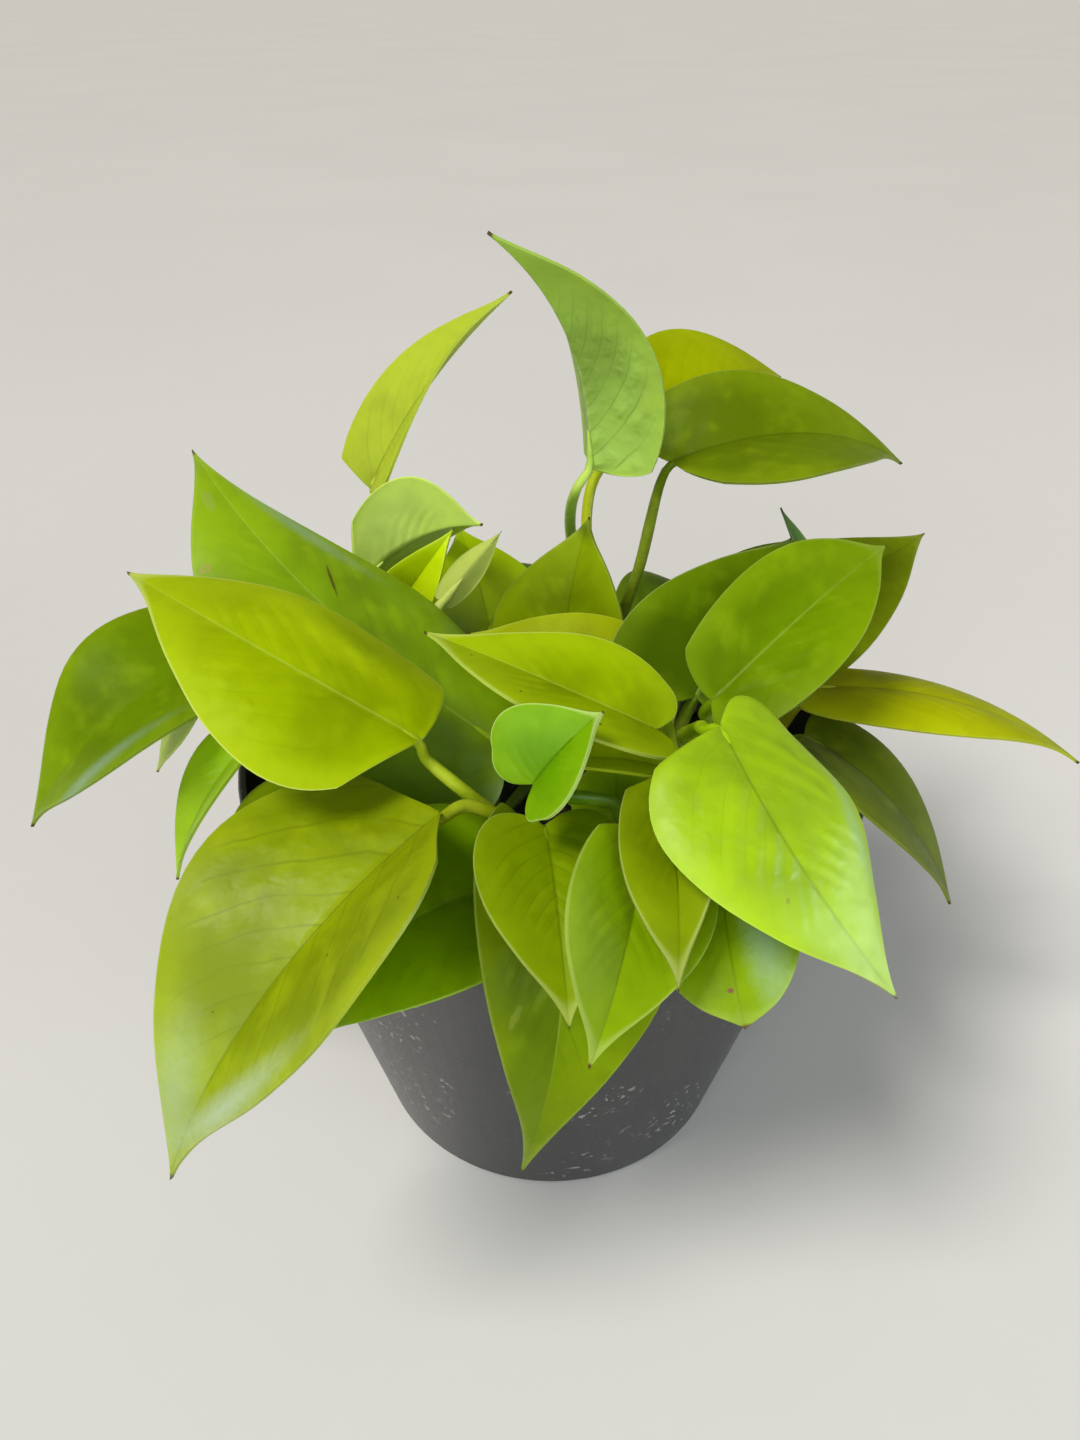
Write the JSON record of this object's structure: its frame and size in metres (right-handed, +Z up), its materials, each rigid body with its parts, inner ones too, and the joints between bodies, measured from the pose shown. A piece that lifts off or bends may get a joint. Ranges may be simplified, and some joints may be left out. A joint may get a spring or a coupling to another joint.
{
  "type": "potted neon pothos",
  "caption": "Bushy potted neon pothos: arching heart-shaped yellow-green leaves on slim petioles over a tapered dark plastic nursery pot filled with potting mix.",
  "frame": {"origin": "centre of the pot's underside, on the surface that it stands on", "axes": "+Z up along the pot's axis, -Y towards the viewer of the picture, +X to the viewer's right"},
  "size_m": [0.2565, 0.2123, 0.2243],
  "materials": {
    "pot": "satin charcoal plastic",
    "potting_mix": "damp bark and peat",
    "stem": "smooth living stem",
    "leaf_pale": "satin pale green leaf",
    "leaf_yellow": "satin yellow-green leaf",
    "leaf_lime": "satin lime leaf",
    "leaf_green": "satin green leaf",
    "leaf_dark": "satin olive green leaf",
    "leaf_young": "satin blue-green rolled leaf"
  },
  "bodies": {
    "root": {"pot": "pot", "potting_mix": "potting_mix", "vine_front_left": "stem", "vine_front_right": "stem", "vine_middle": "stem", "vine_right": "stem", "vine_back": "stem", "vine_left": "stem", "vine_left_back": "stem", "vine_right_back": "stem", "vine_far_right": "stem", "vine_left_front": "stem", "vine_rear": "stem", "leaf_crown_tall": "leaf_pale", "leaf_crown_left": "leaf_yellow", "leaf_crown_behind": "leaf_yellow", "leaf_crown_right": "leaf_dark", "leaf_inner_upright": "leaf_green", "leaf_hood_pale": "leaf_pale", "leaf_hood_bright": "leaf_yellow", "leaf_small_pale": "leaf_pale", "leaf_left_olive": "leaf_dark", "leaf_left_large": "leaf_dark", "leaf_left_light": "leaf_lime", "leaf_front_large": "leaf_green", "leaf_front_low": "leaf_green", "leaf_front_long": "leaf_lime", "leaf_front_heart": "leaf_green", "leaf_curled_heart": "leaf_green", "leaf_low_left": "leaf_green", "leaf_mid_low": "leaf_dark", "leaf_front_mid": "leaf_lime", "leaf_front_narrow": "leaf_lime", "leaf_mid_bright": "leaf_yellow", "leaf_mid_yellow": "leaf_yellow", "leaf_mid_under": "leaf_yellow", "leaf_mid_dark": "leaf_dark", "leaf_front_right": "leaf_lime", "leaf_right_upright": "leaf_green", "leaf_right_pale": "leaf_green", "leaf_right_olive": "leaf_dark", "leaf_right_young": "leaf_young", "leaf_right_far": "leaf_yellow", "leaf_right_drooping": "leaf_dark", "leaf_right_low": "leaf_green", "leaf_left_drooping": "leaf_dark", "leaf_left_tiny": "leaf_pale", "leaf_left_narrow": "leaf_green", "leaf_rear_middle": "leaf_green", "leaf_rear_left": "leaf_lime", "leaf_rear_right": "leaf_dark"}
  },
  "joints": []
}
